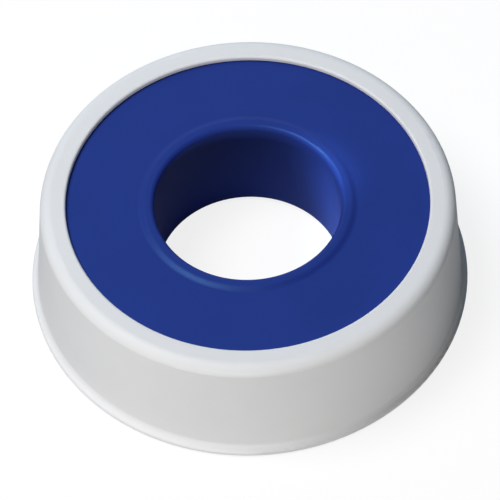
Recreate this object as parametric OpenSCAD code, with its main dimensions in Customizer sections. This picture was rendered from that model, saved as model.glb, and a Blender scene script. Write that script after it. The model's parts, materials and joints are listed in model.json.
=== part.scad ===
// Thread seal tape roll. The tape is wound on a flanged spool, which turns in a
// base plate. A drafted shell covers both and lifts off over the flange.
// The origin is the middle of the face it rests on, and Z is the spool's axis,
// from the base plate towards the flange.

/* [Tape] */
// Width of the tape
tape_w = 12; // [6:0.5:25]
// Thickness of the tape
tape_t = 0.075; // [0.06:0.005:0.12]
// Length of the tape on a full roll
tape_len = 10000; // [4000:500:15000]

/* [Spool] */
// Bore right through the spool
bore_d = 21.8; // [16:0.1:30]
// Wall of the hub under the tape
hub_wall = 2; // [1.8:0.1:3]
// Step from the hub in to the journal, which rests on the base plate
shoulder_w = 0.5; // [0.3:0.1:0.6]
// Chamfer that leads the journal into the base plate
journal_lead = 0.3; // [0.2:0.05:0.3]
// How far the flange stands out past the full winding
flange_over = 2.05; // [1.5:0.05:4]
// Thickness of the flange
flange_t = 0.8; // [0.6:0.1:2]
// Rounding of the bore's mouth
mouth_r = 0.6; // [0.3:0.1:1]
// How far the mouth stands above the flange
mouth_rise = 0.25; // [0.1:0.05:0.4]
// Width of the soft slope from the flange up to the mouth
rise_w = 1; // [0.5:0.1:1.2]
// Rounding of the bore's lower end
bore_foot_r = 0.7; // [0.3:0.05:0.8]

/* [Base plate] */
// Thickness of the base plate
base_t = 1; // [0.8:0.1:2.5]

/* [Shell] */
// Wall of the shell, measured level
wall_t = 1.3; // [1:0.05:2]
// Lean of the wall, inside and out, wider towards the mouth
draft = 4.6; // [1:0.2:6]
// Thickness of the rim that turns in over the flange
rim_t = 0.6; // [0.5:0.05:1.5]
// How far the rim laps over the flange
rim_lap = 1; // [0.5:0.1:1.5]
// Rounding where the wall turns into the rim
edge_r = 1.4; // [0.6:0.1:1.6]
// Rounding of the rim's inner edge
opening_edge_r = 0.3; // [0.1:0.05:0.4]
// How far the lip stands out at the foot of the wall
lip_out = 0.65; // [0.5:0.05:1.5]
// Height of the lip, which has a half-round edge
lip_h = 0.8; // [0.5:0.1:1]
// Radius of the hollow curve that carries the wall out to the lip
lip_sweep_r = 1; // [0.6:0.1:2]
// Width of the ledge inside the mouth that sits on the base plate
ledge_w = 0.3; // [0.2:0.05:0.5]

/* [Fits] */
// Radial clearance of the journal in the base plate
journal_fit = 0.1; // [0.05:0.01:0.1]
// Radial clearance of the base plate in the shell's mouth
mouth_fit = 0.1; // [0.05:0.01:0.1]
// Radial clearance of the innermost turn on the hub
winding_fit = 0.02; // [0.01:0.01:0.1]
// Space between the flange's edge and the shell's wall
flange_gap = 0.65; // [0.4:0.05:1]
// Play of the flange under the rim
rim_play = 0.15; // [0.1:0.05:0.4]
// Space at each edge of the tape
tape_gap = 0.15; // [0.1:0.05:0.5]
// Height of the journal's end above the rest face
journal_lift = 0.2; // [0.1:0.05:0.4]

/* [Hidden] */
$fn = 128;

// How far a cut runs past the face that it leaves
overrun = 1;
// Straight pieces in the soft slope's profile
rise_steps = 12;
// How far a rounding's circle runs past what it touches, as a share of its radius,
// so that the two cross instead of only touching
bite_share = 0.0025;

// Radii of the spool, from the bore out
bore_r = bore_d / 2;
hub_r = bore_r + hub_wall;
journal_r = hub_r - shoulder_w;
winding_r = sqrt(hub_r * hub_r + tape_len * tape_t / PI);
flange_r = winding_r + flange_over;

// Heights of the stack, from the rest face up
tape_z = base_t + tape_gap;
flange_z = tape_z + tape_w + tape_gap;
flange_top_z = flange_z + flange_t;
mouth_z = flange_top_z + mouth_rise;
rim_z = flange_top_z + rim_play;
shell_h = rim_z + rim_t;

// Radii of the shell and of the base plate in its mouth
opening_r = flange_r - rim_lap;
cavity_top_r = flange_r + flange_gap;
cavity_foot_r = cavity_top_r + (rim_z - base_t) * tan(draft);
base_r = cavity_foot_r + ledge_w;
mouth_bore_r = base_r + mouth_fit;
wall_top_r = cavity_top_r + wall_t;
wall_foot_r = wall_top_r + shell_h * tan(draft);
lip_r = wall_foot_r + lip_out;

// What a rounding takes off a corner at the origin, where the solid lies below a
// level top and left of a side that leans out by lean on its way down
module edge_waste(r, lean = 0) {
    bite = lean == 0 ? 0 : r * bite_share;
    centre = [bite + r * tan(lean) - r / cos(lean), -r];
    side_end = centre + r * [cos(lean), sin(lean)];
    difference() {
        polygon([
            centre,
            [centre.x, overrun],
            [side_end.x + overrun, overrun],
            [side_end.x + overrun, side_end.y],
            side_end
        ]);
        translate(centre) circle(r = r);
    }
}

module base_plate() {
    hole_r = journal_r + journal_fit;
    color("gainsboro")
    rotate_extrude()
    translate([hole_r, 0]) square([base_r - hole_r, base_t]);
}

// Hub and flange in one moulding: the journal turns in the base plate, and its
// shoulder rests on it. The hub's end stands a little above the flange.
module spool() {
    slope = [
        for (step = [0 : rise_steps])
            [hub_r - rise_w * step / rise_steps,
             flange_top_z + mouth_rise * (1 - cos(180 * step / rise_steps)) / 2]
    ];
    color("royalblue")
    rotate_extrude()
    difference() {
        polygon(concat([
            [bore_r, journal_lift],
            [journal_r - journal_lead, journal_lift],
            [journal_r, journal_lift + journal_lead],
            [journal_r, base_t],
            [hub_r, base_t],
            [hub_r, flange_z],
            [flange_r, flange_z],
            [flange_r, flange_top_z]
        ], slope, [
            [bore_r, mouth_z]
        ]));
        translate([bore_r, mouth_z]) mirror([1, 0]) edge_waste(mouth_r);
        translate([bore_r, journal_lift]) mirror([1, 0]) mirror([0, 1]) edge_waste(bore_foot_r);
    }
}

// The full winding, as thick as its length of tape makes it
module tape_roll() {
    core_r = hub_r + winding_fit;
    color("whitesmoke")
    rotate_extrude()
    translate([core_r, tape_z]) square([winding_r - core_r, tape_w]);
}

// The hollow curve between the leaning wall and the lip's round edge. Its circle lies
// one radius off the wall and touches the edge's circle.
module lip_sweep(edge_centre, edge_circle_r) {
    reach = (lip_sweep_r + edge_circle_r) * (1 - bite_share);
    wall_off = lip_sweep_r / cos(draft) - lip_sweep_r * bite_share;
    gap_at_foot = wall_foot_r + wall_off - edge_centre.x;
    level = edge_centre.y + gap_at_foot * tan(draft);
    spare = gap_at_foot * gap_at_foot + edge_centre.y * edge_centre.y - reach * reach;
    flat = cos(draft) * cos(draft);
    centre_z = flat * (level + sqrt(level * level - spare / flat));
    centre = [wall_foot_r + wall_off - centre_z * tan(draft), centre_z];
    wall_end = centre - lip_sweep_r * [cos(draft), sin(draft)];
    root_x = wall_end.x - wall_t / 4;
    difference() {
        polygon([centre, wall_end, [root_x, wall_end.y], [root_x, edge_centre.y], edge_centre]);
        translate(centre) circle(r = lip_sweep_r);
    }
}

// Drafted cup with an in-turned rim, a lip at its open mouth, and a ledge inside
// the mouth that sits on the base plate
module outer_shell() {
    lip_edge_r = lip_h / 2;
    lip_edge = [lip_r - lip_edge_r, lip_edge_r];
    color("gainsboro")
    rotate_extrude() {
        difference() {
            polygon([
                [mouth_bore_r, 0],
                [wall_foot_r, 0],
                [wall_top_r, shell_h],
                [opening_r, shell_h],
                [opening_r, rim_z],
                [cavity_top_r, rim_z],
                [cavity_foot_r, base_t],
                [mouth_bore_r, base_t]
            ]);
            translate([wall_top_r, shell_h]) edge_waste(edge_r, draft);
            translate([opening_r, shell_h]) mirror([1, 0]) edge_waste(opening_edge_r);
        }
        translate([mouth_bore_r, 0]) square([lip_edge.x - mouth_bore_r, lip_h]);
        translate(lip_edge) circle(r = lip_edge_r);
        lip_sweep(lip_edge, lip_edge_r);
    }
}

base_plate();
spool();
tape_roll();
outer_shell();
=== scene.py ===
"""Thread seal tape roll: its finishes, the wound tape and the studio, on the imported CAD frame."""

import json
import math
import random

import bmesh
import bpy
from mathutils import Matrix, Vector


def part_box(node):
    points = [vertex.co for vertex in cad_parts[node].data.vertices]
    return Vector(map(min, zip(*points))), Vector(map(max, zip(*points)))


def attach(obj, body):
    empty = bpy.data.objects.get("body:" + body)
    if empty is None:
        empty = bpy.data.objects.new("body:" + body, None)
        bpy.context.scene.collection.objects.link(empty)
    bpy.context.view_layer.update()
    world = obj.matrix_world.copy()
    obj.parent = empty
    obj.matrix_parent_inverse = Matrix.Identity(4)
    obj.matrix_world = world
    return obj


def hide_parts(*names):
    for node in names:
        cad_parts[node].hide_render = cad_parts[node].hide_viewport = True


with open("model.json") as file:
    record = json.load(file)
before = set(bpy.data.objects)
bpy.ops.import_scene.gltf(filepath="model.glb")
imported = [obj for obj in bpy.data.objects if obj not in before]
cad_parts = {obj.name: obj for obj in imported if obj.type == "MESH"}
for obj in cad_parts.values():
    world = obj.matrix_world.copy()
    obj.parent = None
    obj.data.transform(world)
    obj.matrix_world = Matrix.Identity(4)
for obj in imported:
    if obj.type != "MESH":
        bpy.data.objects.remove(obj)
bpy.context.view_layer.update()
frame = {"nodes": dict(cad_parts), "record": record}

# Base plate
# A flat ring of white polypropylene that closes the foot of the shell. It is injection
# moulded, the shell snaps over its edge, and the spool's journal turns in its hole.

MM = 0.001
WHITE = (0.81, 0.817, 0.832)
WHITE_CLOUD_SIZE = 14 * MM
WHITE_CLOUD_HEIGHT = 0.03 * MM
WHITE_GRAIN_SIZE = 0.22 * MM
SMUDGE_SIZE = 3.5 * MM
GRAIN_HEIGHT = 0.004 * MM
FOOT_FADE = 0.3 * MM


class Wire:
    """A value in a material. Arithmetic on it adds Math nodes to that material."""

    def __init__(self, tree, socket=None):
        self.tree = tree
        self.socket = socket

    def node(self, kind, settings, inputs, output=0):
        """Adds a node, sets it up, feeds its sockets and gives back one of its outputs."""
        added = self.tree.nodes.new("ShaderNode" + kind)
        for name, value in settings.items():
            setattr(added, name, value)
        for name, value in inputs.items():
            if isinstance(value, Wire):
                self.tree.links.new(value.socket, added.inputs[name])
            else:
                added.inputs[name].default_value = value
        return Wire(self.tree, added.outputs[output])

    def maths(self, operation, *values):
        return self.node("Math", {"operation": operation}, dict(enumerate(values)))

    def __add__(self, other):
        return self.maths("ADD", self, other)

    def __sub__(self, other):
        return self.maths("SUBTRACT", self, other)

    def __rsub__(self, other):
        return self.maths("SUBTRACT", other, self)

    def __mul__(self, other):
        return self.maths("MULTIPLY", self, other)

    __radd__ = __add__
    __rmul__ = __mul__

    def split(self):
        """The x, y and z of this place."""
        parts = self.node("SeparateXYZ", {}, {"Vector": self}).socket.node.outputs
        return [Wire(self.tree, part) for part in parts]

    def noise(self, size, detail=2.0):
        """Noise about this place, from 0 to 1, whose lumps are about size across."""
        inputs = {"Vector": self, "Scale": 1 / size, "Detail": detail}
        return self.node("TexNoise", {}, inputs, "Fac")

    def ripples(self, pitch):
        """A sine wave along this value, from -1 to 1, with one crest in each pitch."""
        return self.maths("SINE", self * (math.tau / pitch))

    def ramp(self, start, end):
        """0 below start, 1 above end, and a smooth rise between them."""
        inputs = {"Value": self, "From Min": start, "From Max": end}
        return self.node("MapRange", {"interpolation_type": "SMOOTHSTEP"}, inputs)

    def band(self, low, high, fade):
        """1 where this value lies between low and high, falling to 0 over fade on each side."""
        return self.ramp(low - fade, low) * (1 - self.ramp(high, high + fade))

    def tint(self, colour, dark, light):
        """A colour from dark to light, as shares of it, as this value goes from 0 to 1."""
        ends = [(*(share * c for c in colour), 1) for share in (dark, light)]
        inputs = {"Factor": self, 6: ends[0], 7: ends[1]}
        return self.node("Mix", {"data_type": "RGBA"}, inputs, 2)

    def bump(self, height, normal=None):
        """The surface normal that this value, as a share of height, gives."""
        inputs = {"Height": self, "Distance": height, "Strength": 1}
        if normal:
            inputs["Normal"] = normal
        return self.node("Bump", {}, inputs)

    def into(self, shader, name):
        self.tree.links.new(self.socket, shader.inputs[name])


def start_finish(name):
    """A new material, its shader, and the place on the piece."""
    material = bpy.data.materials.new(name)
    material.use_nodes = True
    tree = material.node_tree
    place = Wire(tree).node("TexCoord", {}, {}, "Object")
    return material, tree.nodes["Principled BSDF"], place


def white_plastic(name, wear_bands):
    """Satin white polypropylene, scuffed a little at the heights in wear_bands."""
    material, shader, place = start_finish(name)
    height = place.split()[2]
    cloud = place.noise(WHITE_CLOUD_SIZE)
    grain = place.noise(WHITE_GRAIN_SIZE, 3)
    smudge = place.noise(SMUDGE_SIZE, 5)
    scuff = smudge * sum(height.band(low, high, fade) for low, high, fade in wear_bands)
    tone = 0.55 * cloud + 0.25 * smudge + 0.20 - 0.25 * scuff
    tone.tint(WHITE, 0.93, 1.04).into(shader, "Base Color")
    (0.40 + 0.08 * smudge + 0.14 * scuff).into(shader, "Roughness")
    grain.bump(GRAIN_HEIGHT, cloud.bump(WHITE_CLOUD_HEIGHT)).into(shader, "Normal")
    shader.inputs["Specular IOR Level"].default_value = 0.25
    return material


def dress(node, material):
    """Puts a finish on a CAD node in place of its plain one."""
    finishes = frame["nodes"][node].data.materials
    finishes.clear()
    finishes.append(material)


base_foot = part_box("base_plate")[0].z
dress("base_plate", white_plastic("base_white", [(base_foot, base_foot, FOOT_FADE)]))

# Spool
# Hub and flange in one moulding of blue polypropylene. The flange and the raised mouth of
# the bore are satin from the mould, and the bore is a little duller.

BLUE = (0.0165, 0.036, 0.246)
BLUE_SHINE = (0.25, 0.6, 1.0, 1)
BLUE_CLOUD_SIZE = 9 * MM
BLUE_GRAIN_SIZE = 0.25 * MM
RING_PITCH = 0.45 * MM
RING_HEIGHT = 0.0008 * MM
BORE_MARGIN = 0.1 * MM
BORE_FADE = 0.3 * MM

bore_radius = frame["record"]["mounts"][0]["dims"]["r_mm"] * MM


def axis_distance(place):
    """How far a place lies from the spool's axis."""
    x, y, _ = place.split()
    return place.maths("SQRT", x * x + y * y)


def blue_plastic(name):
    """Satin blue polypropylene, duller in the bore, with faint rings from turning the mould."""
    material, shader, place = start_finish(name)
    radius = axis_distance(place)
    bore = radius.band(0, bore_radius + BORE_MARGIN, BORE_FADE)
    grain = place.noise(BLUE_GRAIN_SIZE, 3)
    tone = 0.8 * place.noise(BLUE_CLOUD_SIZE) + 0.2 * grain
    tone.tint(BLUE, 0.86, 1.12).into(shader, "Base Color")
    (0.36 + 0.08 * grain + 0.20 * bore).into(shader, "Roughness")
    turned = (radius.ripples(RING_PITCH) * (1 - bore)).bump(RING_HEIGHT)
    (grain * (1 - 0.7 * bore)).bump(GRAIN_HEIGHT, turned).into(shader, "Normal")
    shader.inputs["Specular IOR Level"].default_value = 0.28
    shader.inputs["Specular Tint"].default_value = BLUE_SHINE
    return material


dress("spool", blue_plastic("spool_blue"))

# Wound tape
# Soft white film, twelve millimetres wide, wound tight on the hub. The turns show as fine
# lines on the edges, and the outer turn ends in a square cut that lifts a little.

TAPE_WHITE = (0.86, 0.86, 0.84)
TURN_PITCH = 0.3 * MM
TURN_HEIGHT = 0.004 * MM
STREAK_SIZE = 2 * MM
STREAK_STRETCH = 12
STREAK_HEIGHT = 0.03 * MM
TAPE_CLOUD_SIZE = 2.5 * MM
GLOW_DEPTH = 0.6 * MM

SPIN_STEPS = 180
WELD = 0.0005 * MM
SMOOTH_ANGLE = math.radians(40)

FILM = 0.09 * MM
EDGE_RINGS = 30
EDGE_SLIP = 0.08 * MM
CROSS_CUTS = 11
END_LIFT = 0.9 * MM
END_ARC = math.radians(32)
END_ANGLE = math.tau * 0.985
RIPPLE = 0.02 * MM
RIPPLES_ROUND = 23
RIPPLE_WIDTH = 2.1 * MM
RIPPLE_LEAN = 5
TAPE_SEED = 12

tape_low, tape_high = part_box("tape_roll")
winding_radius = tape_high.x
core_radius = min(v.co.xy.length for v in frame["nodes"]["tape_roll"].data.vertices)


def spin_round(mesh, geometry, angle, merge):
    """Sweeps geometry about the spool's axis."""
    bmesh.ops.spin(
        mesh,
        geom=geometry,
        axis=(0, 0, 1),
        cent=(0, 0, 0),
        dvec=(0, 0, 0),
        angle=angle,
        steps=SPIN_STEPS,
        use_merge=merge,
        use_duplicate=False,
    )


def new_piece(name, mesh, material):
    """The bmesh as an object at the origin, shaded smooth except at its sharp edges."""
    bmesh.ops.remove_doubles(mesh, verts=mesh.verts, dist=WELD)
    bmesh.ops.recalc_face_normals(mesh, faces=mesh.faces)
    for face in mesh.faces:
        face.smooth = True
    for edge in mesh.edges:
        edge.smooth = edge.calc_face_angle(0) < SMOOTH_ANGLE
    data = bpy.data.meshes.new(name)
    mesh.to_mesh(data)
    mesh.free()
    data.materials.append(material)
    piece = bpy.data.objects.new(name, data)
    bpy.context.scene.collection.objects.link(piece)
    return piece


def tape_film(name):
    """Matte film: fine turns on the wound edges, and streaks along the tape on its face."""
    material, shader, place = start_finish(name)
    radius = axis_distance(place)
    turns = radius.ripples(TURN_PITCH)
    along = {"X": place.split()[2] * STREAK_STRETCH, "Y": radius, "Z": 0}
    streaks = place.node("CombineXYZ", {}, along).noise(STREAK_SIZE, 4)
    cloud = place.noise(TAPE_CLOUD_SIZE, 4)
    tone = 0.5 * cloud + 0.35 * streaks + 0.15 * turns
    tone.tint(TAPE_WHITE, 0.9, 1).into(shader, "Base Color")
    (0.55 + 0.15 * cloud).into(shader, "Roughness")
    wound = turns.bump(TURN_HEIGHT)
    (0.7 * streaks + 0.3 * cloud).bump(STREAK_HEIGHT, wound).into(shader, "Normal")
    shader.inputs["Specular IOR Level"].default_value = 0.35
    shader.inputs["Subsurface Weight"].default_value = 0.15
    shader.inputs["Subsurface Radius"].default_value = [GLOW_DEPTH] * 3
    return material


film = tape_film("tape_film")
random.seed(TAPE_SEED)
winding = bmesh.new()
lower, upper = [], []
for ring in range(EDGE_RINGS + 1):
    radius = core_radius + (winding_radius - FILM - core_radius) * ring / EDGE_RINGS
    slip = EDGE_SLIP * random.random()
    lower.append(winding.verts.new((radius, 0, tape_low.z + slip)))
    upper.append(winding.verts.new((radius, 0, tape_high.z - EDGE_SLIP + slip)))
outline = lower + upper[::-1]
profile = [winding.edges.new(ends) for ends in zip(outline, outline[1:] + outline[:1])]
spin_round(winding, outline + profile, math.tau, True)
wound_tape = new_piece("wound_tape", winding, film)
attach(wound_tape, "spool")
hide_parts("tape_roll")

outer_turn = bmesh.new()
cut_line = [
    outer_turn.verts.new((winding_radius - FILM / 2, 0, z))
    for z in (tape_low.z + EDGE_SLIP / 2, tape_high.z - EDGE_SLIP / 2)
]
cut_edge = outer_turn.edges.new(cut_line)
spin_round(outer_turn, cut_line + [cut_edge], END_ANGLE, False)
across = [e for e in outer_turn.edges if abs(e.verts[0].co.z - e.verts[1].co.z) > MM]
bmesh.ops.subdivide_edges(outer_turn, edges=across, cuts=CROSS_CUTS, use_grid_fill=True)
for vert in outer_turn.verts:
    angle = math.atan2(vert.co.y, vert.co.x) % math.tau
    lifted = max(0, angle - (END_ANGLE - END_ARC)) / END_ARC
    wave = math.sin(angle * RIPPLES_ROUND)
    wave *= math.sin(vert.co.z / RIPPLE_WIDTH + angle * RIPPLE_LEAN)
    reach = 1 + (END_LIFT * lifted**2 + RIPPLE * wave) / winding_radius
    vert.co.x *= reach
    vert.co.y *= reach
bmesh.ops.recalc_face_normals(outer_turn, faces=outer_turn.faces)
bmesh.ops.solidify(outer_turn, geom=outer_turn.faces, thickness=FILM)
tape_end = new_piece("tape_end", outer_turn, film)
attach(tape_end, "spool")

# Shell
# The white cover, one moulding of polypropylene: a drafted wall, a rim that turns in over
# the flange, and a thin lip round the open foot. It snaps over the base plate.

LIP_WEAR = 0.8 * MM
LIP_FADE = 0.5 * MM
RIM_WEAR_START = 0.5 * MM
RIM_WEAR_END = 0.1 * MM
RIM_FADE = 0.4 * MM

shell_low, shell_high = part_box("outer_shell")
shell_wear = [
    (shell_low.z, shell_low.z + LIP_WEAR, LIP_FADE),
    (shell_high.z - RIM_WEAR_START, shell_high.z - RIM_WEAR_END, RIM_FADE),
]
dress("outer_shell", white_plastic("shell_white", shell_wear))

# Floor
# A plain white table top, a hair below the roll so that no two faces lie in one plane. The
# camera sees it as white, with the roll's soft shadow kept.

FLOOR_SIZE = 3.0
FLOOR_DROP = 0.05 * MM
FLOOR_WHITE = (0.50, 0.50, 0.50, 1)
FLOOR_SEEN = (0.18, 0.18, 0.18, 1)
FLOOR_GLOW = 0.84
GLOSSY_SHARE = 0.1

table = bmesh.new()
below = Matrix.Translation((0, 0, -FLOOR_DROP))
bmesh.ops.create_grid(table, x_segments=1, y_segments=1, size=FLOOR_SIZE / 2, matrix=below)
floor_paint = bpy.data.materials.new("floor_paint")
floor_paint.use_nodes = True
floor_tree = floor_paint.node_tree
floor_tree.nodes.remove(floor_tree.nodes["Principled BSDF"])
paint = Wire(floor_tree)
camera_ray, glossy_ray, through_ray = [
    paint.node("LightPath", {}, {}, f"Is {kind} Ray")
    for kind in ("Camera", "Glossy", "Transmission")
]
other_seen = paint.maths("MAXIMUM", GLOSSY_SHARE * glossy_ray, through_ray)
seen = paint.maths("MAXIMUM", camera_ray, other_seen)
shadowed = paint.node("BsdfDiffuse", {}, {"Color": FLOOR_SEEN})
glow = paint.node("Emission", {}, {"Strength": FLOOR_GLOW})
pale = paint.node("AddShader", {}, {0: shadowed, 1: glow})
plain = paint.node("BsdfDiffuse", {}, {"Color": FLOOR_WHITE})
surface = paint.node("MixShader", {}, {0: seen, 1: plain, 2: pale})
surface.into(floor_tree.nodes["Material Output"], "Surface")
floor = new_piece("floor", table, floor_paint)

# Studio light
# A soft box high on the left, a low strip in front, a cool window behind, a narrow beam on
# the right wall of the bore, and a dim room.

LAMP_DISTANCE = 0.50
PLAIN_LIGHT = (1.0, 1.0, 1.0)
WARM_LIGHT = (1.0, 0.98, 0.94)
COOL_LIGHT = (0.60, 0.80, 1.0)
BEAM_TARGET = Vector((10.1, 3.8, 7.0)) * MM
BEAM_ANGLE = math.radians(1.4)
BEAM_WATTS = 20
BEAM_COLOUR = (0.75, 1.0, 1.0)
BEAM_LAMP_RADIUS = 0.003
ROOM_COLOUR = (0.95, 0.975, 1, 1)
ROOM_STRENGTH = 0.01


def hang_lamp(lamp, azimuth, elevation, target):
    """Hangs a lamp at an azimuth and elevation in degrees from the target, and faces it."""
    turn, rise = math.radians(azimuth), math.radians(elevation)
    level = math.cos(rise)
    aim = Vector((math.cos(turn) * level, math.sin(turn) * level, math.sin(rise)))
    facing = aim.to_track_quat("Z", "Y").to_matrix().to_4x4()
    holder = bpy.data.objects.new(lamp.name, lamp)
    holder.matrix_world = Matrix.Translation(target + aim * LAMP_DISTANCE) @ facing
    bpy.context.scene.collection.objects.link(holder)


def soft_box(name, azimuth, elevation, width, height, watts, colour):
    """An area lamp that faces the roll."""
    lamp = bpy.data.lights.new(name, "AREA")
    lamp.shape = "RECTANGLE"
    lamp.size = width
    lamp.size_y = height
    lamp.energy = watts
    lamp.color = colour
    hang_lamp(lamp, azimuth, elevation, Vector((0, 0, 0)))


soft_box("key", azimuth=183, elevation=67, width=0.22, height=0.22, watts=1.98, colour=PLAIN_LIGHT)
soft_box("strip", azimuth=264, elevation=4, width=0.26, height=0.06, watts=1.12, colour=WARM_LIGHT)
soft_box("window", azimuth=94, elevation=34, width=0.70, height=0.50, watts=0.92, colour=COOL_LIGHT)

beam = bpy.data.lights.new("beam", "SPOT")
beam.energy = BEAM_WATTS
beam.color = BEAM_COLOUR
beam.spot_size = BEAM_ANGLE
beam.spot_blend = 1
beam.shadow_soft_size = BEAM_LAMP_RADIUS
hang_lamp(beam, azimuth=186, elevation=58, target=BEAM_TARGET)

room = bpy.data.worlds.new("room")
room.use_nodes = True
room_light = room.node_tree.nodes["Background"]
room_light.inputs["Color"].default_value = ROOM_COLOUR
room_light.inputs["Strength"].default_value = ROOM_STRENGTH
bpy.context.scene.world = room

# Camera
# The photograph's view: from above the front, a long way off, and rolled a little. The lens
# and its shift put the roll at the photograph's size and place in a square frame.

FRAME_PIXELS = 500
SENSOR_WIDTH = 36
CAMERA_RISE = math.radians(53.8)
CAMERA_ROLL = math.radians(-1.7)
CAMERA_DISTANCE = 0.40
PIXELS_PER_MM = 8.49
ROLL_MIDDLE = (248.8, 236.5)

camera = bpy.data.cameras.new("camera")
camera.sensor_width = SENSOR_WIDTH
camera.lens = PIXELS_PER_MM / MM * CAMERA_DISTANCE * SENSOR_WIDTH / FRAME_PIXELS
camera.shift_x = (FRAME_PIXELS / 2 - ROLL_MIDDLE[0]) / FRAME_PIXELS
camera.shift_y = (ROLL_MIDDLE[1] - FRAME_PIXELS / 2) / FRAME_PIXELS
camera_back = Vector((0, -math.cos(CAMERA_RISE), math.sin(CAMERA_RISE)))
camera_aim = Vector((0, 0, (shell_low.z + shell_high.z) / 2))
camera_turn = camera_back.to_track_quat("Z", "Y").to_matrix().to_4x4()
eye = bpy.data.objects.new("camera", camera)
eye.matrix_world = (
    Matrix.Translation(camera_aim + camera_back * CAMERA_DISTANCE)
    @ camera_turn
    @ Matrix.Rotation(CAMERA_ROLL, 4, "Z")
)
bpy.context.scene.collection.objects.link(eye)
bpy.context.scene.camera = eye
bpy.context.scene.view_settings.view_transform = "Standard"

# Scene update
# The view layer is brought up to date.

bpy.context.view_layer.update()
